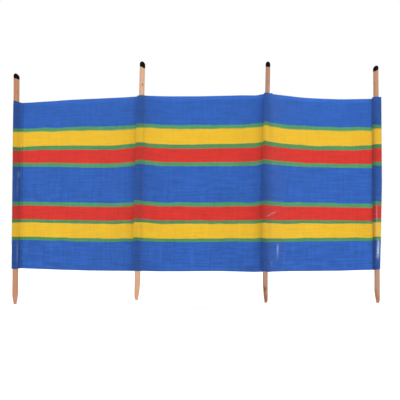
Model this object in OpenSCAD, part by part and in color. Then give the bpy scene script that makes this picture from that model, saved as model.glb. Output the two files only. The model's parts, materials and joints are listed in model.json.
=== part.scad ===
// Beach windbreak: four wooden poles and one striped cloth with a sewn pocket for each pole.
// Millimetres. The origin is the middle of the flat foot of the left pole, +X runs along the
// windbreak to the right, +Y is behind it, where the cloth bellies out, and +Z is up.

/* [Stance] */
// Distance from each pole to the next, left to right
spans = [678, 650, 583]; // [560:1:720]
// Direction of each bay seen from above, turned from +X towards +Y
headings = [-15.4, -4.7, 7.8]; // [-20:0.1:20]
// Height of each foot above the left pole's foot: the poles are driven to different depths
foot_rise = [0, 33, 23, 16]; // [0:1:60]
// Lean of each pole towards +X, in degrees
leans = [0, 1.2, 0.8, 0]; // [-2:0.1:2]

/* [Poles] */
// Length of a pole from its foot to the top of its dome
pole_l = 1220; // [1180:5:1500]
// Diameter of each pole
pole_d = [30, 28.5, 25, 28.5]; // [24:0.5:30]
// Length of the whittled taper above each foot
taper_l = [70, 90, 98, 75]; // [60:1:110]
// Diameter of the blunt end of a foot
foot_d = 12; // [8:0.5:16]
// Length of the black dipped end
dip_l = 33; // [25:1:45]
// Height of the rounded top of a dipped end
dome_h = 9; // [6:0.5:11]

/* [Cloth] */
// Height of the cloth
cloth_h = 900; // [800:10:950]
// Thickness of the cloth with its slack
cloth_t = 2; // [1:0.5:3]
// Height of the cloth's lower edge above the left pole's foot
cloth_z = 177; // [150:1:200]
// How far the middle of each bay bellies out behind the straight line between its seams
bellies = [40, 85, 95]; // [20:1:150]
// How far the upper edge sinks in the middle of each bay
edge_sags = [7, 0, 7]; // [0:1:15]

/* [Pockets] */
// Distance from each pole's axis to the stitch line that closes its pocket
seam_reach = [28, 24, 26, 18]; // [17:1:40]
// Direction of each stitch line from the pole's axis
seam_side = [0, 20, 20, 152]; // [0:4:180]
// Distance from each pole's axis to the folded edge of its pocket, 0 where the cloth hugs the pole
fold_reach = [0, 23, 18, 22]; // [0:1:36]
// Direction of each folded edge from the pole's axis
fold_side = [180, 188, 188, 340]; // [172:4:348]
// Room between a pole and its pocket
pocket_gap = 0.3; // [0.2:0.1:1]

/* [Hidden] */
$fn = 64;
pole_count = len(leans);
bay_count = len(spans);
bay_columns = 32;
outline_step = 4;
wood = "#c29070";
dip_black = "#141214";
stripe_blue = "#3865b8";
pocket_blue = "#385795";

// Unit vector in plan at an angle from +X
function heading(angle) = [cos(angle), sin(angle)];

// Foot of a pole in plan, walking from pole to pole
function foot_xy(i) = i == 0 ? [0, 0] : foot_xy(i - 1) + spans[i - 1] * heading(headings[i - 1]);

// Axis of a leaning pole in plan, at height z
function axis_xy(i, z) = foot_xy(i) + [(z - foot_rise[i]) * tan(leans[i]), 0];

// Stitch line of a pocket in plan, at height z
function seam_xy(i, z) = axis_xy(i, z) + seam_reach[i] * heading(seam_side[i]);

// Point of a bay in plan: an arc from seam a to seam b that bellies out by belly to its left,
// at the part u of its way, moved off its middle surface by off
function bay_xy(a, b, belly, u, off) =
    let (
        chord = norm(b - a),
        along = (b - a) / chord,
        back = [-along.y, along.x],
        radius = (chord * chord / 4 + belly * belly) / (2 * belly),
        turn = asin(chord / 2 / radius) * (2 * u - 1)
    )
    (a + b) / 2 - back * (radius - belly) + (radius + off) * (along * sin(turn) + back * cos(turn));

// Upper edge of a bay at the part u of its way
function bay_top(i, u) = cloth_z + cloth_h - edge_sags[i] * 4 * u * (1 - u);

// One upright section of a bay: front bottom, back bottom, back top, front top
function bay_section(i, u) =
    let (
        top = bay_top(i, u),
        low_a = seam_xy(i, cloth_z),
        low_b = seam_xy(i + 1, cloth_z),
        high_a = seam_xy(i, cloth_z + cloth_h),
        high_b = seam_xy(i + 1, cloth_z + cloth_h),
        low_front = bay_xy(low_a, low_b, bellies[i], u, -cloth_t / 2),
        low_back = bay_xy(low_a, low_b, bellies[i], u, cloth_t / 2),
        high_back = bay_xy(high_a, high_b, bellies[i], u, cloth_t / 2),
        high_front = bay_xy(high_a, high_b, bellies[i], u, -cloth_t / 2)
    )
    [
        [low_front.x, low_front.y, cloth_z],
        [low_back.x, low_back.y, cloth_z],
        [high_back.x, high_back.y, top],
        [high_front.x, high_front.y, top]
    ];

// Stands its children on a pole's axis, with their z measured along the pole from its foot
module on_pole(i) {
    translate([foot_xy(i).x, foot_xy(i).y, foot_rise[i]])
        rotate([0, leans[i], 0])
            children();
}

// Distance from the axis to a round outline with a pointed lobe, in the direction angle: the lobe
// follows the two tangents from its tip to the circle
function lobe_distance(r, tip, angle) =
    let (
        reach = tip[0] > r ? acos(r / tip[0]) : 0,
        off = abs((angle - tip[1] + 540) % 360 - 180)
    )
    off < reach ? r / cos(reach - off) : r;

// Round outline with a pointed lobe out to each [distance, direction] of two tips
module lobed_outline(r, tips) {
    polygon([for (angle = [0:outline_step:360 - outline_step])
        max(lobe_distance(r, tips[0], angle), lobe_distance(r, tips[1], angle)) * heading(angle)]);
}

// Wooden pole with its whittled foot, up to the dipped end
module pole(i) {
    color(wood)
        on_pole(i)
            rotate_extrude()
                polygon([
                    [0, 0],
                    [foot_d / 2, 0],
                    [pole_d[i] / 2, taper_l[i]],
                    [pole_d[i] / 2, pole_l - dip_l],
                    [0, pole_l - dip_l]
                ]);
}

// Domed end of a pole that was dipped in black paint
module dipped_end(i) {
    r = pole_d[i] / 2;
    dome_r = (r * r + dome_h * dome_h) / (2 * dome_h);
    color(dip_black)
        on_pole(i)
            union() {
                translate([0, 0, pole_l - dip_l])
                    cylinder(h = dip_l - dome_h, r = r);
                intersection() {
                    translate([0, 0, pole_l - dome_h])
                        cylinder(h = dome_h, r = r);
                    translate([0, 0, pole_l - dome_r])
                        sphere(dome_r);
                }
            }
}

// Sleeve of doubled cloth round a pole, with its stitch line on one side and its fold on the other
module pocket(i) {
    inner = pole_d[i] / 2 + pocket_gap;
    outer = inner + cloth_t;
    tips = [[seam_reach[i], seam_side[i]], [fold_reach[i], fold_side[i]]];
    color(pocket_blue)
        on_pole(i)
            translate([0, 0, cloth_z - foot_rise[i]])
                linear_extrude(cloth_h)
                    difference() {
                        lobed_outline(outer, tips);
                        lobed_outline(inner, [for (tip = tips) [tip[0] * inner / outer, tip[1]]]);
                    }
}

// Free stretch of cloth between two stitch lines
module bay(i) {
    sections = [for (j = [0:bay_columns]) bay_section(i, j / bay_columns)];
    last = 4 * bay_columns;
    color(stripe_blue)
        polyhedron(
            points = [for (section = sections) each section],
            faces = concat(
                [[0, 1, 2], [0, 2, 3], [last + 2, last + 1, last], [last + 3, last + 2, last]],
                [for (j = [0:bay_columns - 1], k = [0:3])
                    [4 * j + (k + 1) % 4, 4 * j + k, 4 * (j + 1) + k]],
                [for (j = [0:bay_columns - 1], k = [0:3])
                    [4 * j + (k + 1) % 4, 4 * (j + 1) + k, 4 * (j + 1) + (k + 1) % 4]]
            )
        );
}

for (i = [0:pole_count - 1]) {
    pole(i);
    dipped_end(i);
    pocket(i);
}
for (i = [0:bay_count - 1])
    bay(i);
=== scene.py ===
import json
import math

import bpy
import numpy as np
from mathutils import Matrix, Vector


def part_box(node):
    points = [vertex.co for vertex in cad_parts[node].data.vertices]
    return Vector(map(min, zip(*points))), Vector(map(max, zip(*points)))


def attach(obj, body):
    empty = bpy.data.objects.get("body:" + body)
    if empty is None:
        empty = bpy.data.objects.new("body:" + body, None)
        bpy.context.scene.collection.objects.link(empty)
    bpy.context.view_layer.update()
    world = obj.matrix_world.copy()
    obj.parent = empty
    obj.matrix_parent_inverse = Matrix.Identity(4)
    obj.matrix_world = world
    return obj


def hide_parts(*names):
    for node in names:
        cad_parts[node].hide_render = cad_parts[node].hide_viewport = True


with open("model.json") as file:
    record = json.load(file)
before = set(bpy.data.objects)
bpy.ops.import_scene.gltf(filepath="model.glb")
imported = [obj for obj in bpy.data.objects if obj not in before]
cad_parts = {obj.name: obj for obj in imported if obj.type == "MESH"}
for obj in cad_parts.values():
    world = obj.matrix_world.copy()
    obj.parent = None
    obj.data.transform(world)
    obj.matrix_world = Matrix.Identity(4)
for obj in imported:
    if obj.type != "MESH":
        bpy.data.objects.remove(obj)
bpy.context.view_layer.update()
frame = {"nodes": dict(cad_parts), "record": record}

# ---------------------------------------------------------------------------------------------
# Poles: four softwood dowels about 28 mm thick and 1.22 m long, planed round, lightly sanded and
# left bare. Each foot was whittled with a few long knife cuts, so that it drives into sand, and
# its end was left blunt, so that it doesn't split.
# ---------------------------------------------------------------------------------------------
MM = 0.001
POLE_SIDES = 48
WHITTLED_LENGTH = 112 * MM
WHITTLED_RING_STEP = 2.8 * MM
SHAFT_RING_STEP = 24 * MM

# The wood stops this far below the top of the pole, inside the paint
WOOD_UNDER_DIP = 21 * MM

# How far the planed dowel is lumpy and how far it is oval
LUMPY = 0.12 * MM
OVAL = 0.1 * MM

# How far a knife cut bulges in its middle, how squarely the wood has to face a cut to be reached
# by it, and the depth from which the cut wood looks fresh
CUT_BULGE = 1.2 * MM
LEAST_FACING = 0.05
FRESH_DEPTH = 0.5 * MM

# Sizes of the wood's figure: year rings, fibres, darker patches, and how far in the knots sit
RING_PITCH = 2.6 * MM
FIBRE_WIDTH = 1.1 * MM
PATCH_WIDTH = 22 * MM
KNOT_FROM_AXIS = 14 * MM

# A wave texture of scale 1 repeats every 0.314 m
WAVE_PITCH = 0.314

# For each pole: wood colours (light, dark, light again near the ground, fresh cut), where its
# grain's heart lies, how far its middle is bowed, how much thicker it is at foot and top than its
# solid, its knots as (height, direction in degrees, radius) and its knife cuts as (direction in
# degrees, length up the pole, distance from the axis at the foot), all in millimetres
POLES = {
    1: dict(
        light="#b98361", dark="#9e684b", low="#c39372", cut="#c48c6e", heart=(34, 22),
        bow=(0.8, -1.2), thicker=(0.6, 0.6),
        knots=[(842, 248, 4.0), (1118, 300, 3.0)],
        cuts=[(352, 76, 6.4), (48, 66, 6.8), (104, 72, 6.2), (165, 70, 6.6), (222, 64, 6.9),
              (292, 78, 6.3)],
    ),
    2: dict(
        light="#d2ac91", dark="#bd8f70", low="#d4a78a", cut="#d39873", heart=(-30, 38),
        bow=(-1.5, 0.8), thicker=(0.5, -0.5),
        knots=[(1098, 282, 3.2), (655, 120, 4.0)],
        cuts=[(355, 96, 3.2), (310, 84, 4.6), (45, 82, 4.8), (190, 30, 8.6), (120, 46, 7.4),
              (245, 42, 7.8)],
    ),
    3: dict(
        light="#b4896f", dark="#93684e", low="#b48a70", cut="#8a5a3c", heart=(26, -33),
        bow=(-2.2, 1.0), thicker=(0.6, -1.0),
        knots=[(68, 262, 6.0), (1118, 276, 3.4), (520, 80, 4.5)],
        cuts=[(184, 102, 2.6), (136, 88, 4.2), (232, 92, 4.0), (4, 34, 8.0), (300, 44, 7.0),
              (70, 40, 7.4)],
    ),
    4: dict(
        light="#bd8d71", dark="#9f7056", low="#b18f78", cut="#a8704a", heart=(-36, -20),
        bow=(1.2, 0.6), thicker=(0.2, -0.6),
        knots=[(300, 40, 4.2), (1130, 210, 2.8)],
        cuts=[(188, 78, 3.4), (140, 70, 4.8), (238, 74, 4.4), (12, 30, 8.2), (300, 38, 7.4),
              (66, 36, 7.8)],
    ),
}


def linear(hex_colour):
    """An sRGB hex colour as linear red, green, blue and alpha."""
    parts = [int(hex_colour[i:i + 2], 16) / 255 for i in (1, 3, 5)]
    return [p / 12.92 if p <= 0.04045 else ((p + 0.055) / 1.055) ** 2.4 for p in parts] + [1.0]


def add_node(tree, kind, inputs=None, **settings):
    """Adds a node with its settings. An input is given a value, or a link where it is a socket."""
    made = tree.nodes.new(kind)
    for name, value in settings.items():
        setattr(made, name, value)
    for key, value in (inputs or {}).items():
        if isinstance(value, bpy.types.NodeSocket):
            tree.links.new(value, made.inputs[key])
        else:
            made.inputs[key].default_value = value
    return made


def new_material(name):
    """A material with only a Principled shader and its output."""
    material = bpy.data.materials.new(name)
    material.use_nodes = True
    tree = material.node_tree
    tree.nodes.clear()
    shader = add_node(tree, "ShaderNodeBsdfPrincipled")
    add_node(tree, "ShaderNodeOutputMaterial", {"Surface": shader.outputs["BSDF"]})
    return material, tree, shader


def new_piece(name, vertices, faces, material, attributes=None, smooth=True):
    """A mesh object at the origin, with its material and its point attributes."""
    mesh = bpy.data.meshes.new(name)
    mesh.from_pydata([tuple(v) for v in vertices], [], faces)
    mesh.polygons.foreach_set("use_smooth", [smooth] * len(mesh.polygons))
    for key, values in (attributes or {}).items():
        values = np.asarray(values, np.float32)
        kind, field = ("FLOAT", "value") if values.ndim == 1 else ("FLOAT_VECTOR", "vector")
        mesh.attributes.new(key, kind, "POINT").data.foreach_set(field, values.ravel())
    mesh.materials.append(material)
    mesh.update()
    piece = bpy.data.objects.new(name, mesh)
    bpy.context.scene.collection.objects.link(piece)
    return piece


def tube_faces(rings, sides):
    """Faces of rings of points that are closed at both ends by one last point each."""
    faces = []
    for ring in range(rings - 1):
        for side in range(sides):
            a = ring * sides + side
            b = ring * sides + (side + 1) % sides
            faces.append((a, b, b + sides, a + sides))
    low, high = rings * sides, rings * sides + 1
    top = (rings - 1) * sides
    for side in range(sides):
        after = (side + 1) % sides
        faces.append((low, after, side))
        faces.append((high, top + side, top + after))
    return faces


class Stance:
    """Where a pole stands: its foot, its direction, two directions across it, its sizes, and how
    far it is bowed and thicker or thinner than a straight, even one."""

    def __init__(self, number, bow, thicker):
        mount = next(m for m in frame["record"]["mounts"] if m["name"] == f"foot_{number}")
        self.foot = Vector(mount["pos_m"])
        self.up = -Vector(mount["axis"]).normalized()
        self.across = Vector((0, 1, 0)).cross(self.up).normalized()
        self.behind = self.up.cross(self.across)
        low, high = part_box(f"pole_{number}")
        self.radius = (high.y - low.y) / 2
        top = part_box(f"dipped_end_{number}")[1].z
        self.length = (top - self.foot.z) / self.up.z
        self.bow = np.array(bow) * MM
        self.thicker = np.array(thicker) * MM

    def place(self, points):
        """Points in the pole's own frame, brought to where it stands."""
        turn = np.array([self.across, self.behind, self.up])
        return np.asarray(points) @ turn + np.array(self.foot)

    def radius_at(self, way):
        """The pole's true radius at a distance up from its foot."""
        return self.radius + np.interp(way, [0, self.length], self.thicker)

    def bend_at(self, way):
        """How far the pole is off its straight axis at a distance up from its foot."""
        return self.bow * math.sin(math.pi * way / self.length)

    def axis_at(self, z):
        """The middle of the pole in plan at height z."""
        way = (z - self.foot.z) / self.up.z
        straight_axis = [self.foot.x + self.up.x * way, self.foot.y + self.up.y * way]
        return np.array(straight_axis) + self.bend_at(way)


def bare_softwood(name, look):
    """Bare, sanded softwood: straight grain of darker summer wood every 2 to 3 mm, fine fibres,
    a few knots, a dull surface, and warmer fresh wood where the knife went."""
    material, tree, shader = new_material(name)
    light, dark, low, cut = (linear(look[key]) for key in ("light", "dark", "low", "cut"))
    place = add_node(tree, "ShaderNodeAttribute", attribute_name="pole_place").outputs["Vector"]
    whittled = add_node(tree, "ShaderNodeAttribute", attribute_name="whittled").outputs["Fac"]

    # year rings round the tree's heart, fibres and darker patches, all drawn out along the pole
    heart = (look["heart"][0] * MM, look["heart"][1] * MM, 0.0)
    board = add_node(
        tree, "ShaderNodeMapping", {"Vector": place, "Location": heart, "Scale": (1, 1, 0.05)},
    )
    grain = add_node(
        tree, "ShaderNodeTexWave",
        {"Vector": board.outputs[0], "Scale": WAVE_PITCH / RING_PITCH, "Distortion": 5.0,
         "Detail": 2.0, "Detail Scale": 0.6, "Detail Roughness": 0.5},
        wave_type="RINGS", rings_direction="Z",
    ).outputs["Fac"]
    fibre_way = add_node(tree, "ShaderNodeMapping", {"Vector": place, "Scale": (1, 1, 0.02)})
    fibres = add_node(
        tree, "ShaderNodeTexNoise",
        {"Vector": fibre_way.outputs[0], "Scale": 1 / FIBRE_WIDTH, "Detail": 3.0, "Roughness": 0.6},
    ).outputs["Fac"]
    patch_way = add_node(tree, "ShaderNodeMapping", {"Vector": place, "Scale": (1, 1, 0.12)})
    patches = add_node(
        tree, "ShaderNodeTexNoise",
        {"Vector": patch_way.outputs[0], "Scale": 1 / PATCH_WIDTH, "Detail": 2.0},
    ).outputs["Fac"]
    figure = add_node(tree, "ShaderNodeMath", {0: grain, 1: 0.45}, operation="MULTIPLY")
    figure = add_node(
        tree, "ShaderNodeMath", {0: fibres, 1: 0.55, 2: figure.outputs[0]},
        operation="MULTIPLY_ADD",
    ).outputs[0]

    # light and dark wood by the figure, with a colour of its own near the ground and where cut
    tone = add_node(tree, "ShaderNodeMapRange", {0: figure, 1: 0.25, 2: 0.8, 3: 0.0, 4: 1.0})
    height = add_node(tree, "ShaderNodeSeparateXYZ", {0: place}).outputs["Z"]
    grounded = add_node(tree, "ShaderNodeMapRange", {0: height, 1: 0.36, 2: 0.16, 3: 0.0, 4: 1.0})
    patch_tone = add_node(
        tree, "ShaderNodeMapRange", {0: patches, 1: 0.35, 2: 0.75, 3: 0.0, 4: 0.35},
    )
    fresh = add_node(
        tree, "ShaderNodeMix", {0: tone.outputs[0], 6: cut, 7: dark}, data_type="RGBA",
    ).outputs[2]
    colour = add_node(
        tree, "ShaderNodeMix", {0: grounded.outputs[0], 6: light, 7: low}, data_type="RGBA",
    ).outputs[2]
    for factor, after in (
        (tone.outputs[0], dark), (patch_tone.outputs[0], dark), (whittled, fresh),
    ):
        colour = add_node(
            tree, "ShaderNodeMix", {0: factor, 6: colour, 7: after}, data_type="RGBA",
        ).outputs[2]

    # each knot is a dark spot on the surface, longer than it is wide
    for height, direction, radius in look["knots"]:
        angle = math.radians(direction)
        x, y = KNOT_FROM_AXIS * math.cos(angle), KNOT_FROM_AXIS * math.sin(angle)
        away = add_node(
            tree, "ShaderNodeVectorMath", {0: place, 1: (x, y, height * MM)},
            operation="SUBTRACT",
        )
        away = add_node(
            tree, "ShaderNodeVectorMath", {0: away.outputs[0], 1: (1, 1, 0.55)},
            operation="MULTIPLY",
        )
        away = add_node(tree, "ShaderNodeVectorMath", {0: away.outputs[0]}, operation="LENGTH")
        knot = add_node(
            tree, "ShaderNodeMapRange",
            {0: away.outputs["Value"], 1: 0.5 * radius * MM, 2: 1.6 * radius * MM, 3: 0.85, 4: 0.0},
            interpolation_type="SMOOTHSTEP",
        )
        colour = add_node(
            tree, "ShaderNodeMix", {0: knot.outputs[0], 6: colour, 7: linear("#6b4229")},
            data_type="RGBA",
        ).outputs[2]
    tree.links.new(colour, shader.inputs["Base Color"])

    rough = add_node(tree, "ShaderNodeMapRange", {0: fibres, 1: 0.2, 2: 0.8, 3: 0.56, 4: 0.74})
    tree.links.new(rough.outputs[0], shader.inputs["Roughness"])
    bump = add_node(
        tree, "ShaderNodeBump", {"Height": figure, "Strength": 0.6, "Distance": 0.35 * MM},
    )
    tree.links.new(bump.outputs[0], shader.inputs["Normal"])
    shader.inputs["IOR"].default_value = 1.5
    shader.inputs["Specular IOR Level"].default_value = 0.35
    return material


def whittled_pole(number, look):
    """A pole's own mesh: a slightly bowed, slightly uneven dowel with knife cuts at its foot."""
    stance = Stance(number, look["bow"], look["thicker"])
    angles = np.arange(POLE_SIDES) * math.tau / POLE_SIDES
    shaft_top = stance.length - WOOD_UNDER_DIP
    shaft_rings = round((shaft_top - WHITTLED_LENGTH) / SHAFT_RING_STEP)
    heights = np.concatenate([
        np.arange(0, WHITTLED_LENGTH, WHITTLED_RING_STEP),
        np.linspace(WHITTLED_LENGTH, shaft_top, shaft_rings),
    ])
    points, cut_away = [], []
    for z in heights:
        uneven = LUMPY * np.sin(3 * angles + 9 * z + number) + OVAL * np.sin(2 * angles - 5 * z)
        round_radius = stance.radius_at(z) - LUMPY + uneven
        radius = round_radius.copy()
        for direction, length, reach in look["cuts"]:
            done = z / (length * MM)
            if done < 1:
                facing = np.cos(angles - math.radians(direction))
                plane = reach * MM + (stance.radius - reach * MM) * done
                plane += CUT_BULGE * math.sin(math.pi * done)
                cut = plane / np.maximum(facing, LEAST_FACING)
                radius = np.where(facing > LEAST_FACING, np.minimum(radius, cut), radius)
        bend = stance.bend_at(z)
        points.append(np.stack([
            radius * np.cos(angles) + bend[0],
            radius * np.sin(angles) + bend[1],
            np.full(POLE_SIDES, z),
        ], 1))
        cut_away.append(np.clip((round_radius - radius) / FRESH_DEPTH, 0, 1))
    points = np.concatenate(points + [[points[0].mean(0)], [points[-1].mean(0)]])
    cut_away = np.concatenate(cut_away + [[1.0], [0.0]])
    pole = new_piece(
        f"whittled_pole_{number}", stance.place(points), tube_faces(len(heights), POLE_SIDES),
        bare_softwood(f"bare_softwood_{number}", look),
        {"pole_place": points, "whittled": cut_away},
    )
    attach(pole, "root")
    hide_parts(f"pole_{number}")
    return stance


stances = {number: whittled_pole(number, look) for number, look in POLES.items()}

# ---------------------------------------------------------------------------------------------
# Dipped ends: the top of each pole was rounded by hand, a little askew, and dipped in black paint
# that dried as a thin, nearly matt coat with an uneven, slanted lower edge.
# ---------------------------------------------------------------------------------------------
COAT = 0.45 * MM
DIP_RINGS = 10
DOME_RINGS = 12

# The coat thins out over this share of its height, and its edge is tucked this far into the wood
EDGE_SHARE = 0.2
TUCKED_IN = 0.2 * MM

# How far the lower edge waves up and down: in three long waves and seven short ones
LONG_WAVES = 0.7 * MM
SHORT_WAVES = 0.4 * MM

# The dome leans from this far below the top, and fully this much higher
LEANS_FROM = 26 * MM
LEANS_FULLY_AFTER = 20 * MM

# Sizes of the paint's figure: dust and lumps
DUST_SIZE = 6 * MM
LUMP_SIZE = 3 * MM

# For each pole, in millimetres: depth of the dip, height of the dome, which side of the dome
# stands high (degrees) and its slope, which side the paint runs low (degrees) and by how much
DIPS = {
    1: dict(depth=31, dome=16, high_side=180, slope=0.42, low_side=0, slant=4.0),
    2: dict(depth=33, dome=16, high_side=180, slope=0.26, low_side=0, slant=5.0),
    3: dict(depth=29, dome=15, high_side=90, slope=0.05, low_side=270, slant=0.5),
    4: dict(depth=29, dome=16, high_side=0, slope=0.38, low_side=180, slant=6.0),
}


def dipped_black_paint():
    """Black blackboard paint dipped on end grain: nearly matt, a little greyed by handling, and
    with the faint lumps of a thick coat."""
    material, tree, shader = new_material("dipped_black_paint")
    place = add_node(tree, "ShaderNodeTexCoord").outputs["Object"]
    dust = add_node(
        tree, "ShaderNodeTexNoise", {"Vector": place, "Scale": 1 / DUST_SIZE, "Detail": 4.0},
    ).outputs["Fac"]
    dusty = add_node(tree, "ShaderNodeMapRange", {0: dust, 1: 0.45, 2: 0.8, 3: 0.0, 4: 1.0})
    colour = add_node(
        tree, "ShaderNodeMix", {0: dusty.outputs[0], 6: linear("#050405"), 7: linear("#141112")},
        data_type="RGBA",
    )
    tree.links.new(colour.outputs[2], shader.inputs["Base Color"])
    rough = add_node(tree, "ShaderNodeMapRange", {0: dust, 1: 0.3, 2: 0.8, 3: 0.5, 4: 0.7})
    tree.links.new(rough.outputs[0], shader.inputs["Roughness"])
    lumps = add_node(
        tree, "ShaderNodeTexNoise", {"Vector": place, "Scale": 1 / LUMP_SIZE, "Detail": 2.0},
    ).outputs["Fac"]
    bump = add_node(
        tree, "ShaderNodeBump", {"Height": lumps, "Strength": 0.4, "Distance": 0.3 * MM},
    )
    tree.links.new(bump.outputs[0], shader.inputs["Normal"])
    shader.inputs["IOR"].default_value = 1.4
    shader.inputs["Specular IOR Level"].default_value = 0.06
    return material


black_paint = dipped_black_paint()
for number, dip in DIPS.items():
    stance = stances[number]
    angles = np.arange(POLE_SIDES) * math.tau / POLE_SIDES
    radius = stance.radius_at(stance.length) + COAT
    shoulder = stance.length - dip["dome"] * MM
    lower_edge = stance.length - dip["depth"] * MM
    lower_edge = lower_edge - dip["slant"] * MM * np.cos(angles - math.radians(dip["low_side"]))
    lower_edge += LONG_WAVES * np.sin(3 * angles + number) + SHORT_WAVES * np.sin(7 * angles)
    rings = []
    for ring in range(DIP_RINGS + 1):
        way = ring / DIP_RINGS
        thinned = 1 - min(1.0, way / EDGE_SHARE) ** 0.5
        coat_radius = radius - (COAT + TUCKED_IN) * thinned
        rings.append((coat_radius, lower_edge + (shoulder - lower_edge) * way))
    for ring in range(1, DOME_RINGS):
        turn = math.pi / 2 * ring / DOME_RINGS
        dome_height = shoulder + dip["dome"] * MM * math.sin(turn)
        rings.append((radius * math.cos(turn) ** 1.1, np.full(POLE_SIDES, dome_height)))
    points = np.concatenate(
        [np.stack([r * np.cos(angles), r * np.sin(angles), z], 1) for r, z in rings]
        + [[(0, 0, lower_edge.mean())], [(0, 0, stance.length)]]
    )
    high = math.radians(dip["high_side"])
    sideways = points[:, 0] * math.cos(high) + points[:, 1] * math.sin(high)
    leaning = (points[:, 2] - (stance.length - LEANS_FROM)) / LEANS_FULLY_AFTER
    leaning = np.clip(leaning, 0, 1)
    points[:, 2] += dip["slope"] * sideways * leaning
    points[:, 2] += min(0.0, stance.length - points[:, 2].max()) * leaning
    dipped_top = new_piece(
        f"dipped_top_{number}", stance.place(points), tube_faces(len(rings), POLE_SIDES),
        black_paint,
    )
    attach(dipped_top, "root")
    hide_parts(f"dipped_end_{number}")

# ---------------------------------------------------------------------------------------------
# Cloth: one strip of striped plain-weave cotton canvas, which bellies out between the poles. At
# each pole it is sewn into a pocket: a tuck at the middle poles, which lies over the bay on their
# left, and a turned flap at the end poles, behind the left one and in front of the right one.
# ---------------------------------------------------------------------------------------------
CLOTH_THICK = 0.6 * MM
CLOTH_ROWS = 136
BAY_STEPS = 56

# From the middle of one layer to the middle of the next, where they are sewn together
LAYER_STEP = 1.0 * MM

# Room between a pole and the middle of its cloth, and how much looser the left pole's pocket is
# at its lower edge
SLACK = 1.2 * MM
PLAY = 2.2 * MM

# How far the end flaps go on past their stitches
LEFT_FLAP = 8 * MM
RIGHT_FLAP = 4 * MM

# Folded edge of a pocket: its direction from the pole's axis in degrees, its distance from the axis
# and its radius, in millimetres, at the lower edge of the cloth, half way up and at the upper edge,
# and how many steps the flat cloth beside it and the fold itself take
FOLD_LEVELS = (0, 0.5, 1)
FOLDS = {
    2: dict(side=188, reach=(24, 23.5, 21), radius=(1.6, 1.6, 1.6), flat_steps=4, fold_steps=6),
    3: dict(side=188, reach=(17, 16.5, 15.5), radius=(1.6, 1.6, 1.6), flat_steps=4, fold_steps=6),
    4: dict(side=350, reach=(15.7, 24.2, 24), radius=(0.8, 2.4, 3), flat_steps=5, fold_steps=8),
}


def seam_line(bay, end):
    """Lower and upper point of a bay's stitch line, from its solid: end is 0, left, or -1, right."""
    corners = np.array([v.co for v in frame["nodes"][bay].data.vertices])
    line = []
    for level in (corners[:, 2].min(), corners[:, 2].max()):
        row = corners[np.abs(corners[:, 2] - level) < 0.1 * MM]
        row = row[np.argsort(row[:, 0])]
        near = row[np.linalg.norm(row - row[end], axis=1) < 3 * MM]
        line.append(near.mean(0))
    return np.array(line)


def belly_of(bay):
    """How far a bay's solid stands behind the straight line between its stitch lines."""
    corners = np.array([v.co for v in frame["nodes"][bay].data.vertices])
    a, b = seam_line(bay, 0)[0][:2], seam_line(bay, -1)[0][:2]
    along = (b - a) / np.linalg.norm(b - a)
    low = corners[corners[:, 2] < corners[:, 2].min() + 0.1 * MM][:, :2]
    half_thick = 1 * MM
    return ((low - a) @ np.array([-along[1], along[0]])).max() - half_thick


seams = {1: seam_line("bay_1", 0)}
for bay in (1, 2, 3):
    seams[bay + 1] = seam_line(f"bay_{bay}", -1)
bellies = {bay: belly_of(f"bay_{bay}") for bay in (1, 2, 3)}
cloth_low = seams[1][0][2]
cloth_tall = seams[1][1][2] - cloth_low


def way_of(angle):
    """One step in plan in the direction of an angle."""
    return np.array([math.cos(angle), math.sin(angle)])


def straight(a, b, steps):
    """Points from a towards b, without b."""
    return [a + (b - a) * k / steps for k in range(steps)]


def round_arc(centre, radius, start, end, steps):
    """Points on an arc, without its end."""
    return [centre + radius * way_of(start + (end - start) * k / steps) for k in range(steps)]


def belly_arc(a, b, belly, steps):
    """Points of a bay in plan from a to b, with its direction at both ends."""
    chord = np.linalg.norm(b - a)
    along = (b - a) / chord
    back = np.array([-along[1], along[0]])
    radius = (chord * chord / 4 + belly * belly) / (2 * belly)
    half = math.asin(chord / 2 / radius)
    centre = (a + b) / 2 - back * (radius - belly)
    turns = [half * (2 * k / steps - 1) for k in range(steps)]
    return [centre + radius * (along * math.sin(t) + back * math.cos(t)) for t in turns]


def leaving(point, centre, radius, sign):
    """Angle where a tangent from a point meets a circle, on the side that sign gives."""
    away = point - centre
    return math.atan2(away[1], away[0]) + sign * math.acos(radius / np.linalg.norm(away))


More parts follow.
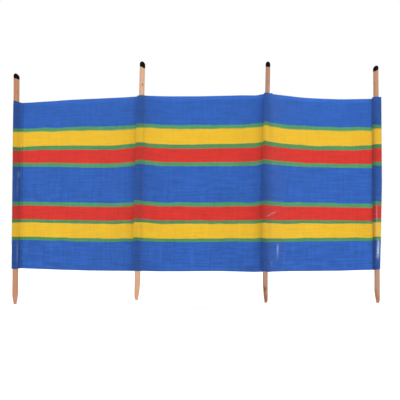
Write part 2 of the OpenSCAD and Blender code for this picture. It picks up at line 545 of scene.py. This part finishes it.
def plan_path(part):
    """The cloth's path in plan at the part of its height from 0, low, to 1, high, with the index
    of the point where each stretch of it starts."""
    z = cloth_low + part * cloth_tall
    seam = {n: (line[0] + (line[1] - line[0]) * part)[:2] for n, line in seams.items()}
    axis = {n: stances[n].axis_at(z) for n in stances}
    along = {b: (seam[b + 1] - seam[b]) / np.linalg.norm(seam[b + 1] - seam[b]) for b in bellies}
    layer = {b: LAYER_STEP * np.array([-along[b][1], along[b][0]]) for b in bellies}
    points, starts = [], {}

    def stretch(name, more):
        """Adds the points of the next stretch of cloth."""
        starts[name] = len(points)
        points.extend(more)

    def pocket(pole, behind, before, turning):
        """From the stitches behind a pole round to those before it. turning is 1 where its folded
        edge is on the left and -1 where it is on the right."""
        fold = FOLDS[pole]
        side = math.radians(fold["side"])
        reach, bend = (np.interp(part, FOLD_LEVELS, fold[key]) * MM for key in ("reach", "radius"))
        middle, radius = axis[pole], stances[pole].radius + SLACK
        tip = middle + reach * way_of(side)
        away = turning * bend * way_of(side + math.pi / 2)
        quarter = turning * math.pi / 2
        back_seam = leaving(behind, middle, radius, turning)
        back_tip = leaving(tip, middle, radius, -turning) % math.tau
        front_tip = leaving(tip, middle, radius, turning) % math.tau
        front_seam = leaving(before, middle, radius, -turning) % math.tau
        flat_steps, fold_steps = fold["flat_steps"], fold["fold_steps"]
        stretch(f"back_{pole}", straight(behind, middle + radius * way_of(back_seam), 5))
        stretch(f"behind_{pole}", round_arc(middle, radius, back_seam, back_tip, 8))
        leaves = middle + radius * way_of(back_tip)
        stretch(f"to_fold_{pole}", straight(leaves, tip - away, flat_steps))
        stretch(f"fold_{pole}", round_arc(tip, bend, side - quarter, side + quarter, fold_steps))
        comes = middle + radius * way_of(front_tip)
        stretch(f"from_fold_{pole}", straight(tip + away, comes, flat_steps))
        stretch(f"round_{pole}", round_arc(middle, radius, front_tip, front_seam, 14))
        stretch(f"front_{pole}", straight(middle + radius * way_of(front_seam), before, 5))

    # left pole: the flap behind it, round its left side a little loose, over its front
    flap_seam = seam[1] + layer[1]
    loose = PLAY * (1 - part) ** 0.5
    middle = axis[1] - np.array([loose, 0])
    radius = stances[1].radius + SLACK + loose
    behind = leaving(flap_seam, middle, radius, 1)
    before = leaving(seam[1], middle, radius, -1) + math.tau
    stretch("flap_1", straight(flap_seam + along[1] * LEFT_FLAP, flap_seam, 3))
    stretch("back_1", straight(flap_seam, middle + radius * way_of(behind), 6))
    stretch("round_1", round_arc(middle, radius, behind, before, 26))
    stretch("front_1", straight(middle + radius * way_of(before), seam[1], 6))

    # middle poles: the bay before each of them is doubled back on itself into the tuck
    here = seam[1]
    for pole in (2, 3):
        bay = pole - 1
        stretch(f"bay_{bay}", belly_arc(here, seam[pole] + layer[bay], bellies[bay], BAY_STEPS))
        turn = math.atan2(layer[bay][1], layer[bay][0])
        middle = seam[pole] + layer[bay] / 2
        stretch(f"turn_{pole}", round_arc(middle, LAYER_STEP / 2, turn, turn - math.pi, 4))
        here = seam[pole] - layer[bay]
        pocket(pole, seam[pole], here, 1)

    # right pole: behind it, round a loose fold on its right, and a flap over its front
    stretch("bay_3", belly_arc(here, seam[4], bellies[3], BAY_STEPS))
    flap_seam = seam[4] - layer[3]
    pocket(4, seam[4], flap_seam, -1)
    onward = points[starts["back_4"]] - points[starts["behind_4"]]
    flap_end = flap_seam + onward / np.linalg.norm(onward) * RIGHT_FLAP
    stretch("flap_4", straight(flap_seam, flap_end, 2))
    stretch("end", [flap_end])
    return np.array(points), starts


rows = np.linspace(0, 1, CLOTH_ROWS + 1)
plans = []
for part in rows:
    plan, starts = plan_path(part)
    plans.append(plan)
plans = np.array(plans)
columns = plans.shape[1]
steps = np.linalg.norm(np.diff(plans[CLOTH_ROWS // 2], axis=0), axis=1)
cloth_u = np.concatenate([[0], np.cumsum(steps)])

# How the cloth hangs: for each place along it (the start of a stretch and metres past it), how far
# it is drawn up in millimetres, at the levels of its height named in HANG_LEVELS
HANG_LEVELS = (0, 0.18, 0.38, 0.61, 0.72, 0.82, 1)
HANG = [
    ("flap_1", 0.0, (13, 11, 4, 3, 1, 1, -22)),
    ("back_1", 0.0, (13, 11, 4, 3, 1, 1, -18)),
    ("round_1", 0.0, (9, 11, 4, 3, 1, 1, -6)),
    ("round_1", 0.035, (8, 10, 4, 3, -1, 0, -1)),
    ("front_1", 0.0, (8, 10, 4, 3, -6, -1, -9)),
    ("bay_1", 0.0, (10, 11, 5, 5, -5, 0, -14)),
    ("bay_1", 0.06, (8, 10, 6, 3, 0, 0, -12)),
    ("bay_1", 0.12, (6, 8, 4, 3, 1, 2, -8)),
    ("bay_1", 0.22, (3, 6, 1, 1, 0, 3, -3)),
    ("bay_1", 0.36, (0, 2, -2, -4, -2, 4, 0)),
    ("bay_1", 0.50, (0, 1, -6, -6, -6, 0, 0)),
    ("bay_1", 0.60, (1, 2, -3, -3, 0, 2, 0)),
    ("behind_2", 0.0, (1, 2, -3, -3, 0, 2, 0)),
    ("fold_2", 0.0, (3, 7, 7, 5, 3, 4, -1)),
    ("front_2", 0.0, (3, 6, 5, 4, 2, 4, 0)),
    ("bay_2", 0.09, (-1, 0, -3, -3, -2, 5, 2)),
    ("bay_2", 0.20, (-2, 0, -3, -2, -3, 4, 5)),
    ("bay_2", 0.40, (0, 2, -4, -2, 0, 6, 7)),
    ("bay_2", 0.50, (-2, 2, -3, -3, 0, 4, 6)),
    ("bay_2", 0.585, (-3, 2, -3, -3, -1, 6, 1)),
    ("bay_2", 0.625, (-1, 5, 3, 3, 5, 8, 6)),
    ("behind_3", 0.0, (-1, 4, 2, 2, 4, 7, 6)),
    ("fold_3", 0.0, (4, 3, 2, 4, 8, 11, 6)),
    ("round_3", 0.002, (4, 3, 2, 4, 8, 11, 6)),
    ("front_3", 0.0, (0, 1, 0, 1, 2, 5, 3)),
    ("bay_3", 0.0, (0, 2, 0, -1, 1, 4, 2)),
    ("bay_3", 0.10, (0, 1, -4, -1, -2, 1, 2)),
    ("bay_3", 0.25, (-1, 4, -3, -6, -7, 1, -2)),
    ("bay_3", 0.40, (0, 5, -6, -8, -9, -3, -7)),
    ("bay_3", 0.50, (4, 6, -9, -12, -9, -4, -9)),
    ("bay_3", 0.58, (7, 6, -11, -13, -9, -9, -12)),
    ("behind_4", 0.0, (8, 6, -9, -11, -8, -8, -11)),
    ("fold_4", 0.0, (14, 10, 2, -3, -3, 0, -5)),
    ("end", 0.0, (6, 10, 2, -2, -4, 2, -5)),
]
places = [cloth_u[starts[name]] + past for name, past, _ in HANG]
hang = np.array([np.interp(rows, HANG_LEVELS, levels) for _, _, levels in HANG]) * MM
drawn_up = np.array([np.interp(cloth_u, places, hang[:, row]) for row in range(CLOTH_ROWS + 1)])
heights = cloth_low + rows[:, None] * cloth_tall + drawn_up
surface = np.dstack([plans[:, :, 0], plans[:, :, 1], heights])

# Where the cloth is free of the poles, from 0 at a pocket to 1 in a bay
FREE_AFTER = 0.09
free = np.zeros(columns)
for bay in bellies:
    first = cloth_u[starts[f"bay_{bay}"]]
    last = cloth_u[starts[f"turn_{bay + 1}" if bay < 3 else "back_4"]]
    inside = np.minimum(cloth_u - first, last - cloth_u)
    free = np.maximum(free, np.clip(inside / FREE_AFTER, 0, 1))
free = free * free * (3 - 2 * free)


def uneven(u, v, seed, waves, shortest, longest, upright):
    """A sum of waves over the cloth, from about -1 to 1, whose lengths lie between shortest and
    longest. Their crests run up the cloth, and lean less where upright is larger."""
    draw = np.random.default_rng(seed)
    total = np.zeros(np.broadcast(u, v).shape)
    for _ in range(waves):
        length = draw.uniform(shortest, longest)
        turn = draw.uniform(-1, 1) / upright
        phase = draw.uniform(0, math.tau)
        total += np.sin(math.tau * (u * math.cos(turn) + v * math.sin(turn)) / length + phase)
    return total / math.sqrt(waves)


def facing_front(surface):
    """The direction in which the cloth's front faces at each of its points."""
    outward = np.cross(np.gradient(surface, axis=0), np.gradient(surface, axis=1))
    return outward / np.maximum(np.linalg.norm(outward, axis=2, keepdims=True), 1e-9)


# The bays billow, with crests that run up the cloth, and it puckers along its seams, with crests
# that run away from them
BILLOW = 2.4 * MM
PUCKER = 0.9 * MM
PUCKERS_AT = 0.25
flat_u = np.broadcast_to(cloth_u[None, :], heights.shape)
flat_v = np.broadcast_to(rows[:, None] * cloth_tall, heights.shape)
billow = BILLOW * uneven(
    flat_u, flat_v, seed=4, waves=7, shortest=0.16, longest=0.42, upright=1.6,
)
pucker = PUCKER * uneven(
    flat_v, flat_u, seed=9, waves=6, shortest=0.035, longest=0.07, upright=3.0,
)
near_seam = np.clip(1 - np.abs(free - PUCKERS_AT) / 0.3, 0, 1)
moved_back = billow * free + pucker * near_seam
surface = surface - facing_front(surface) * moved_back[:, :, None]

# Painted shade and light on the cloth, low and high at each place along it, against the open bays:
# painted shade in the pockets, where doubled cloth with a pole in it lets no light through from behind,
# and along the folds, with painted light at the right end of the last bay
PAINTED_LIGHT_AND_SHADE = [
    ("flap_1", 0.0, 0.6, 0.6),
    ("round_1", 0.0, 0.45, 0.42),
    ("round_1", 0.035, 0.52, 0.46),
    ("round_1", 0.052, 0.56, 0.52),
    ("front_1", 0.0, 0.62, 0.54),
    ("front_1", 0.015, 0.5, 0.66),
    ("front_1", 0.02, 0.5, 0.72),
    ("bay_1", 0.0, 0.88, 0.8),
    ("bay_1", 0.012, 0.97, 0.92),
    ("bay_1", 0.04, 0.99, 0.97),
    ("bay_1", 0.2, 1.0, 1.0),
    ("turn_2", -0.07, 1.0, 1.0),
    ("turn_2", 0.0, 0.84, 1.0),
    ("fold_2", 0.0, 0.68, 0.72),
    ("round_2", 0.0, 0.64, 0.7),
    ("round_2", 0.012, 0.6, 0.67),
    ("front_2", 0.0, 0.7, 0.7),
    ("bay_2", 0.0, 0.84, 0.84),
    ("bay_2", 0.015, 0.88, 0.88),
    ("bay_2", 0.05, 0.93, 0.94),
    ("bay_2", 0.15, 1.0, 1.0),
    ("bay_2", 0.5, 1.02, 1.02),
    ("turn_3", -0.06, 1.0, 1.02),
    ("turn_3", -0.045, 0.84, 0.9),
    ("turn_3", 0.0, 0.8, 0.84),
    ("fold_3", 0.0, 0.52, 0.7),
    ("round_3", 0.0, 0.56, 0.76),
    ("front_3", 0.0, 0.62, 0.74),
    ("bay_3", 0.0, 0.76, 0.86),
    ("bay_3", 0.012, 0.84, 0.96),
    ("bay_3", 0.04, 0.91, 1.02),
    ("bay_3", 0.1, 1.0, 1.0),
    ("back_4", -0.08, 1.12, 1.1),
    ("back_4", -0.025, 1.17, 1.16),
    ("back_4", 0.0, 1.02, 1.02),
    ("fold_4", 0.0, 0.7, 0.55),
    ("from_fold_4", 0.0, 0.9, 0.68),
    ("round_4", 0.0, 0.8, 0.64),
    ("front_4", 0.0, 0.46, 0.7),
    ("flap_4", 0.0, 0.5, 0.84),
    ("end", 0.0, 0.6, 0.95),
]
places = [cloth_u[starts[name]] + past for name, past, _, _ in PAINTED_LIGHT_AND_SHADE]
low_painted_shade_and_light = np.interp(cloth_u, places, [low for _, _, low, _ in PAINTED_LIGHT_AND_SHADE])
high_painted_shade_and_light = np.interp(cloth_u, places, [high for _, _, _, high in PAINTED_LIGHT_AND_SHADE])
painted_light_and_shade = low_painted_shade_and_light + rows[:, None] * (high_painted_shade_and_light - low_painted_shade_and_light)

# A painted highlight along the upper selvedge, most where the cloth stands free and less on the left
PAINTED_HIGHLIGHT_BAND = 23 * MM
PAINTED_HIGHLIGHT_FADE = 7 * MM
painted_top_highlight = np.clip((flat_v - cloth_tall + PAINTED_HIGHLIGHT_BAND) / PAINTED_HIGHLIGHT_FADE, 0, 1)
painted_top_highlight = painted_top_highlight * (0.08 + 0.14 * free) * np.interp(cloth_u, [0.3, 0.8], [0.5, 1])
painted_light_and_shade = painted_light_and_shade * (1 + painted_top_highlight)

# Stripes from the lower edge up, in millimetres: woven in dyed yarn, a little wavy where the cloth
# has stretched
BLUE, YELLOW, RED = "#2b58a7", "#d9ad2a", "#c53029"
GREEN, LEAF_GREEN = "#498b5f", "#498454"
STRIPES = [
    (149.5, BLUE), (16.5, LEAF_GREEN), (78, YELLOW), (19, LEAF_GREEN), (73, RED), (20, GREEN),
    (187, BLUE),
    (20, GREEN), (72.5, RED), (19, LEAF_GREEN), (76.5, YELLOW), (20, GREEN), (149, BLUE),
]
STRIPE_EDGE = 0.6
STRIPES_TALL = sum(width for width, _ in STRIPES)

# How much of the painted shade of the pockets and folds shows in each colour: least on pale yarn
SHADE_SHOWN = {BLUE: 1.0, GREEN: 0.85, LEAF_GREEN: 0.85, YELLOW: 0.4, RED: 0.65}

# Where the cloth has chafed on the poles or been creased: (stretch, metres past it, height up the
# cloth, half its length and half its width in metres, degrees it leans from upright, strength)
CHAFED = [
    ("front_1", 0.002, 0.085, 0.055, 0.003, 0, 0.22),
    ("front_1", 0.007, 0.50, 0.018, 0.008, 0, 0.15),
    ("front_1", 0.0, 0.43, 0.04, 0.004, 0, 0.1),
    ("round_4", 0.008, 0.105, 0.045, 0.005, -3, 1.0),
    ("round_4", 0.012, 0.25, 0.10, 0.003, 0, 0.35),
    ("bay_3", 0.049, 0.097, 0.036, 0.0026, 2, 1.0),
    ("bay_3", 0.007, 0.043, 0.012, 0.003, 0, 0.45),
    ("bay_3", 0.004, 0.292, 0.034, 0.003, 70, 0.35),
]
BARED_COTTON = "#c9d2e0"

# How far the stripes drift up and down as the cloth has stretched
STRIPE_DRIFT = 11 * MM

# The canvas's uneven tone: for each cause the length and height of its streaks or patches, the
# detail and roughness of its noise, and its weight
CANVAS_TONES = {
    "weft": (130 * MM, 9 * MM, 3.0, 0.55, 0.64),
    "warp": (13 * MM, 160 * MM, 3.0, 0.55, 0.36),
    "mottling": (34 * MM, 34 * MM, 2.0, 0.5, 0.26),
    "fading": (143 * MM, 143 * MM, 3.0, 0.6, 0.2),
}
FLUFF_SIZE = 5 * MM

# The real threads are about half as wide: these are as coarse as it takes to see them
WEAVE_PITCH = 1.7 * MM


def striped_canvas():
    """Plain-weave cotton canvas in dyed stripes: matt, with thick and thin weft threads that run
    along it, fainter warp lines, most wear low down where the sand blows, a little fading, and
    chafed places over the end poles. Painted shade darkens its pockets and folds, and a painted
    highlight lightens its upper edge."""
    material, tree, shader = new_material("striped_cotton_canvas")
    flat = add_node(tree, "ShaderNodeUVMap", uv_map="flat_cloth").outputs["UV"]
    split = add_node(tree, "ShaderNodeSeparateXYZ", {0: flat})
    along, up = split.outputs["X"], split.outputs["Y"]

    # the stripes, by the height up the cloth: alpha carries how much painted shade shows in a colour
    drift_way = add_node(tree, "ShaderNodeMapping", {"Vector": flat, "Scale": (1.0, 1.6, 1.0)})
    drift = add_node(
        tree, "ShaderNodeTexNoise",
        {"Vector": drift_way.outputs[0], "Scale": 11.0, "Detail": 4.0, "Roughness": 0.6},
    )
    drift = add_node(
        tree, "ShaderNodeMath", {0: drift.outputs["Fac"], 1: 0.5}, operation="SUBTRACT",
    )
    level = add_node(
        tree, "ShaderNodeMath", {0: drift.outputs[0], 1: STRIPE_DRIFT, 2: up},
        operation="MULTIPLY_ADD",
    )
    level = add_node(
        tree, "ShaderNodeMath", {0: level.outputs[0], 1: STRIPES_TALL * MM}, operation="DIVIDE",
    )
    dyes = add_node(tree, "ShaderNodeValToRGB", {0: level.outputs[0]})
    stops = dyes.color_ramp.elements
    stops.remove(stops[1])
    stops[0].color = linear(STRIPES[0][1])[:3] + [SHADE_SHOWN[STRIPES[0][1]]]
    reached = 0.0
    for (width, below), (_, above) in zip(STRIPES, STRIPES[1:]):
        reached += width
        for colour, edge in ((below, -STRIPE_EDGE), (above, STRIPE_EDGE)):
            stop = stops.new((reached + edge) / STRIPES_TALL)
            stop.color = linear(colour)[:3] + [SHADE_SHOWN[colour]]

    # uneven threads, mottling and fading, which together leave the mean tone at 1
    tone = 1 - sum(weight for *_, weight in CANVAS_TONES.values()) / 2
    patterns = {}
    for cause, (length, height, detail, roughness, weight) in CANVAS_TONES.items():
        drawn_out = add_node(
            tree, "ShaderNodeMapping", {"Vector": flat, "Scale": (1 / length, 1 / height, 1.0)},
        )
        patterns[cause] = add_node(
            tree, "ShaderNodeTexNoise",
            {"Vector": drawn_out.outputs[0], "Scale": 1.0, "Detail": detail, "Roughness": roughness},
        ).outputs["Fac"]
        tone = add_node(
            tree, "ShaderNodeMath", {0: patterns[cause], 1: weight, 2: tone},
            operation="MULTIPLY_ADD",
        ).outputs[0]

    # most unevenness at the lower edge, least at the upper; then the painted shade and light of pockets
    # and folds
    wear = add_node(
        tree, "ShaderNodeMapRange", {0: up, 1: 0.0, 2: STRIPES_TALL * MM, 3: 1.3, 4: 0.7},
    )
    tone = add_node(tree, "ShaderNodeMapRange", {0: wear.outputs[0], 3: 1.0, 4: tone}, clamp=False)
    # this attribute holds painted shade and light: pockets and folds darker, the upper edge highlighted
    shade = add_node(tree, "ShaderNodeAttribute", attribute_name="painted_light_and_shade").outputs["Fac"]
    tone = add_node(tree, "ShaderNodeMath", {0: tone.outputs[0], 1: shade}, operation="MULTIPLY")
    tone = add_node(
        tree, "ShaderNodeMapRange", {0: dyes.outputs["Alpha"], 3: 1.0, 4: tone.outputs[0]},
    ).outputs[0]
    grey = add_node(tree, "ShaderNodeCombineColor", {0: tone, 1: tone, 2: tone})
    shaded = add_node(
        tree, "ShaderNodeMix", {0: 1.0, 6: dyes.outputs["Color"], 7: grey.outputs[0]},
        data_type="RGBA", blend_type="MULTIPLY",
    )

    # where it is chafed, the dye has gone from the outside of the threads
    chafed = add_node(tree, "ShaderNodeAttribute", attribute_name="chafed").outputs["Fac"]
    fluff = add_node(
        tree, "ShaderNodeTexNoise",
        {"Vector": flat, "Scale": 1 / FLUFF_SIZE, "Detail": 3.0, "Roughness": 0.7},
    )
    fluff = add_node(
        tree, "ShaderNodeMapRange", {0: fluff.outputs["Fac"], 1: 0.36, 2: 0.58, 3: 0.0, 4: 1.0},
    )
    bared = add_node(tree, "ShaderNodeMath", {0: chafed, 1: fluff.outputs[0]}, operation="MULTIPLY")
    colour = add_node(
        tree, "ShaderNodeMix",
        {0: bared.outputs[0], 6: shaded.outputs[2], 7: linear(BARED_COTTON)}, data_type="RGBA",
    )
    tree.links.new(colour.outputs[2], shader.inputs["Base Color"])

    # relief: a plain weave, over and under in both directions, raised by the thick weft threads
    swells = []
    for way in (along, up):
        turns = add_node(
            tree, "ShaderNodeMath", {0: way, 1: math.tau / WEAVE_PITCH}, operation="MULTIPLY",
        )
        swell = add_node(tree, "ShaderNodeMath", {0: turns.outputs[0]}, operation="SINE")
        swells.append(swell.outputs[0])
    weave = add_node(tree, "ShaderNodeMath", {0: swells[0], 1: swells[1]}, operation="MULTIPLY")
    relief = add_node(
        tree, "ShaderNodeMath", {0: patterns["weft"], 1: 2.5, 2: weave.outputs[0]},
        operation="MULTIPLY_ADD",
    )
    bump = add_node(
        tree, "ShaderNodeBump",
        {"Height": relief.outputs[0], "Strength": 0.5, "Distance": 0.14 * MM},
    )
    tree.links.new(bump.outputs[0], shader.inputs["Normal"])
    shader.inputs["Roughness"].default_value = 0.88
    shader.inputs["IOR"].default_value = 1.45
    shader.inputs["Specular IOR Level"].default_value = 0.2
    shader.inputs["Sheen Weight"].default_value = 0.12
    shader.inputs["Sheen Roughness"].default_value = 0.5
    return material


chafing = np.zeros(heights.shape)
for name, past, height, half_length, half_width, lean, strength in CHAFED:
    right, above = flat_u - cloth_u[starts[name]] - past, flat_v - height
    cos_lean, sin_lean = way_of(math.radians(lean))
    lengthwise = (above * cos_lean + right * sin_lean) / half_length
    crosswise = (right * cos_lean - above * sin_lean) / half_width
    chafing = np.maximum(chafing, strength * np.exp(-crosswise ** 2 - lengthwise ** 4))

grid = np.arange((CLOTH_ROWS + 1) * columns).reshape(CLOTH_ROWS + 1, columns)
quads = np.stack([grid[:-1, :-1], grid[:-1, 1:], grid[1:, 1:], grid[1:, :-1]], 2).reshape(-1, 4)
# the cloth carries its painted shade and light as a point attribute
cloth = new_piece(
    "striped_cloth", surface.reshape(-1, 3), quads.tolist(), striped_canvas(),
    {"painted_light_and_shade": painted_light_and_shade.ravel(), "chafed": chafing.ravel()},
)
flat_map = cloth.data.uv_layers.new(name="flat_cloth")
corner_points = np.zeros(len(cloth.data.loops), np.int32)
cloth.data.loops.foreach_get("vertex_index", corner_points)
flat_places = np.stack([flat_u.ravel(), flat_v.ravel()], 1)[corner_points]
flat_map.data.foreach_set("uv", flat_places.astype(np.float32).ravel())
wall = cloth.modifiers.new("cloth thickness", "SOLIDIFY")
wall.thickness = CLOTH_THICK
wall.offset = 0.0
wall.use_even_offset = False
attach(cloth, "root")
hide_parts("bay_1", "bay_2", "bay_3", "pocket_1", "pocket_2", "pocket_3", "pocket_4")

# ---------------------------------------------------------------------------------------------
# Seams: each pocket is closed by one row of lockstitch in strong blue polyester thread, through
# all the layers, so that it shows in front and behind.
# ---------------------------------------------------------------------------------------------
STITCH_PITCH = 4.6 * MM
STITCH_LONG = 3.6 * MM
THREAD_THICK = 0.6 * MM
TWIST_SIZE = 0.8 * MM

# The middle of a stitch stands this far off the middle of the cloth, and the rows of stitches stop
# this many rows of the cloth short of its edges
STITCH_OFF = CLOTH_THICK / 2 + 0.15 * THREAD_THICK
ROWS_SHORT = 2

# Where each row of stitches runs: the stretch of cloth at whose start it is, how many columns past
# it, and 1 for the front of the cloth or -1 for its back
STITCH_ROWS = [
    ("bay_1", 0, 1), ("back_1", 0, 1), ("front_2", 4, 1), ("turn_2", -1, -1),
    ("front_3", 4, 1), ("turn_3", -1, -1), ("flap_4", 0, 1), ("back_4", 0, -1),
]


def polyester_thread():
    """Twisted polyester sewing thread: smoother and shinier than the cotton, one plain dye."""
    material, tree, shader = new_material("blue_polyester_thread")
    place = add_node(tree, "ShaderNodeTexCoord").outputs["Object"]
    twist = add_node(
        tree, "ShaderNodeTexNoise", {"Vector": place, "Scale": 1 / TWIST_SIZE, "Detail": 1.0},
    )
    colour = add_node(
        tree, "ShaderNodeMix",
        {0: twist.outputs["Fac"], 6: linear("#2c4c93"), 7: linear("#3f66b0")}, data_type="RGBA",
    )
    tree.links.new(colour.outputs[2], shader.inputs["Base Color"])
    shader.inputs["Roughness"].default_value = 0.5
    shader.inputs["Sheen Weight"].default_value = 0.2
    return material


def stitch_tree(thread):
    """Geometry Nodes: one small rounded stitch at every pitch along a seam's line of points."""
    tree = bpy.data.node_groups.new("lockstitch_row", "GeometryNodeTree")
    for name, kind, where, value in (
        ("Seam line", "NodeSocketGeometry", "INPUT", None),
        ("Stitch pitch", "NodeSocketFloat", "INPUT", STITCH_PITCH),
        ("Stitch length", "NodeSocketFloat", "INPUT", STITCH_LONG),
        ("Thread thickness", "NodeSocketFloat", "INPUT", THREAD_THICK),
        ("Stitches", "NodeSocketGeometry", "OUTPUT", None),
    ):
        socket = tree.interface.new_socket(name, in_out=where, socket_type=kind)
        if value is not None:
            socket.default_value = value
    given = add_node(tree, "NodeGroupInput").outputs
    line = add_node(tree, "GeometryNodeMeshToCurve", {0: given["Seam line"]})
    spaced = add_node(
        tree, "GeometryNodeResampleCurve", {0: line.outputs[0], "Length": given["Stitch pitch"]},
        mode="LENGTH",
    )
    way = add_node(tree, "GeometryNodeInputTangent")
    lie = add_node(tree, "FunctionNodeAlignRotationToVector", {"Vector": way.outputs[0]}, axis="Z")
    bead = add_node(tree, "GeometryNodeMeshUVSphere", {"Segments": 6, "Rings": 4, "Radius": 0.5})
    size = add_node(
        tree, "ShaderNodeCombineXYZ",
        {0: given["Thread thickness"], 1: given["Thread thickness"], 2: given["Stitch length"]},
    )
    shaped = add_node(
        tree, "GeometryNodeTransform", {"Geometry": bead.outputs[0], "Scale": size.outputs[0]},
    )
    sewn = add_node(
        tree, "GeometryNodeInstanceOnPoints",
        {"Points": spaced.outputs[0], "Instance": shaped.outputs[0], "Rotation": lie.outputs[0]},
    )
    solid = add_node(tree, "GeometryNodeRealizeInstances", {0: sewn.outputs[0]})
    dyed = add_node(tree, "GeometryNodeSetMaterial", {"Geometry": solid.outputs[0], "Material": thread})
    add_node(tree, "NodeGroupOutput", {"Stitches": dyed.outputs[0]})
    return tree


outward = facing_front(surface)
seam_points, seam_edges = [], []
for name, past, side in STITCH_ROWS:
    column = starts[name] + past
    line = (surface + side * STITCH_OFF * outward)[ROWS_SHORT:-ROWS_SHORT, column]
    first = len(seam_points)
    seam_points.extend(tuple(point) for point in line)
    seam_edges.extend((k, k + 1) for k in range(first, len(seam_points) - 1))
seam_mesh = bpy.data.meshes.new("seam_lines")
seam_mesh.from_pydata(seam_points, seam_edges, [])
seam_lines = bpy.data.objects.new("seam_lines", seam_mesh)
bpy.context.scene.collection.objects.link(seam_lines)

lockstitch = stitch_tree(polyester_thread())
sewing = seam_lines.modifiers.new("sewing", "NODES")
sewing.node_group = lockstitch
for item in lockstitch.interface.items_tree:
    if item.in_out == "INPUT" and item.socket_type == "NodeSocketFloat":
        sewing[item.identifier] = item.default_value
bpy.context.view_layer.update()
evaluated = seam_lines.evaluated_get(bpy.context.evaluated_depsgraph_get())
stitch_mesh = bpy.data.meshes.new_from_object(evaluated)
stitch_mesh.name = "seam_stitches"
stitch_mesh.polygons.foreach_set("use_smooth", [True] * len(stitch_mesh.polygons))
stitches = bpy.data.objects.new("seam_stitches", stitch_mesh)
bpy.context.scene.collection.objects.link(stitches)
bpy.data.objects.remove(seam_lines)
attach(stitches, "root")

# ---------------------------------------------------------------------------------------------
# Where it is shown: a plain white floor and sky, broad soft light from above and in front, and a
# camera low down in front of the cloth, five metres off.
# ---------------------------------------------------------------------------------------------
CAMERA_PLACE = (0.9735, -5.241, 0.3645)
CAMERA_PITCH = 2.0
CAMERA_LENS = 89.3
FLOOR_HALF = 30.0
SKY_LIGHT = 0.85

# Each softbox: its name, how far round to the right of the camera it stands and how high, both in
# degrees, its power, and how wide it looks in degrees
SOFTBOXES = [
    ("key_softbox", 22, 30, 0.9, 40),
    ("overhead_softbox", 150, 76, 1.0, 50),
]


def white_floor():
    """Matt white studio floor, lit so evenly that it is nearly paper white."""
    material, tree, shader = new_material("white_studio_floor")
    place = add_node(tree, "ShaderNodeTexCoord").outputs["Object"]
    mottle = add_node(tree, "ShaderNodeTexNoise", {"Vector": place, "Scale": 3.0, "Detail": 2.0})
    colour = add_node(
        tree, "ShaderNodeMix",
        {0: mottle.outputs["Fac"], 6: linear("#f6f6f6"), 7: linear("#fafafa")}, data_type="RGBA",
    )
    tree.links.new(colour.outputs[2], shader.inputs["Base Color"])
    shader.inputs["Roughness"].default_value = 0.9
    shader.inputs["Specular IOR Level"].default_value = 0.0
    shader.inputs["Emission Color"].default_value = (1, 1, 1, 1)
    shader.inputs["Emission Strength"].default_value = 0.1
    return material


floor_corners = [
    (x * FLOOR_HALF, y * FLOOR_HALF, 0) for x, y in ((-1, -1), (1, -1), (1, 1), (-1, 1))
]
floor = new_piece("white_floor", floor_corners, [(0, 1, 2, 3)], white_floor(), smooth=False)

world = bpy.data.worlds.new("white_surround")
world.use_nodes = True
surround = world.node_tree
background = surround.nodes["Background"]
background.inputs["Color"].default_value = (1, 1, 1, 1)
seen = add_node(surround, "ShaderNodeLightPath").outputs["Is Camera Ray"]
brightness = add_node(surround, "ShaderNodeMapRange", {0: seen, 3: SKY_LIGHT, 4: 1.0})
surround.links.new(brightness.outputs[0], background.inputs["Strength"])
bpy.context.scene.world = world
bpy.context.scene.view_settings.view_transform = "Standard"

for name, turn, height, power, width in SOFTBOXES:
    lamp_data = bpy.data.lights.new(name, "SUN")
    lamp_data.energy = power
    lamp_data.angle = math.radians(width)
    lamp = bpy.data.objects.new(name, lamp_data)
    lamp.rotation_euler = (math.radians(90 - height), 0, math.radians(turn))
    bpy.context.scene.collection.objects.link(lamp)

camera_data = bpy.data.cameras.new("camera")
camera_data.lens = CAMERA_LENS
camera_data.sensor_width = 36.0
camera = bpy.data.objects.new("camera", camera_data)
camera.location = CAMERA_PLACE
camera.rotation_euler = (math.radians(90 + CAMERA_PITCH), 0, 0)
bpy.context.scene.collection.objects.link(camera)
bpy.context.scene.camera = camera
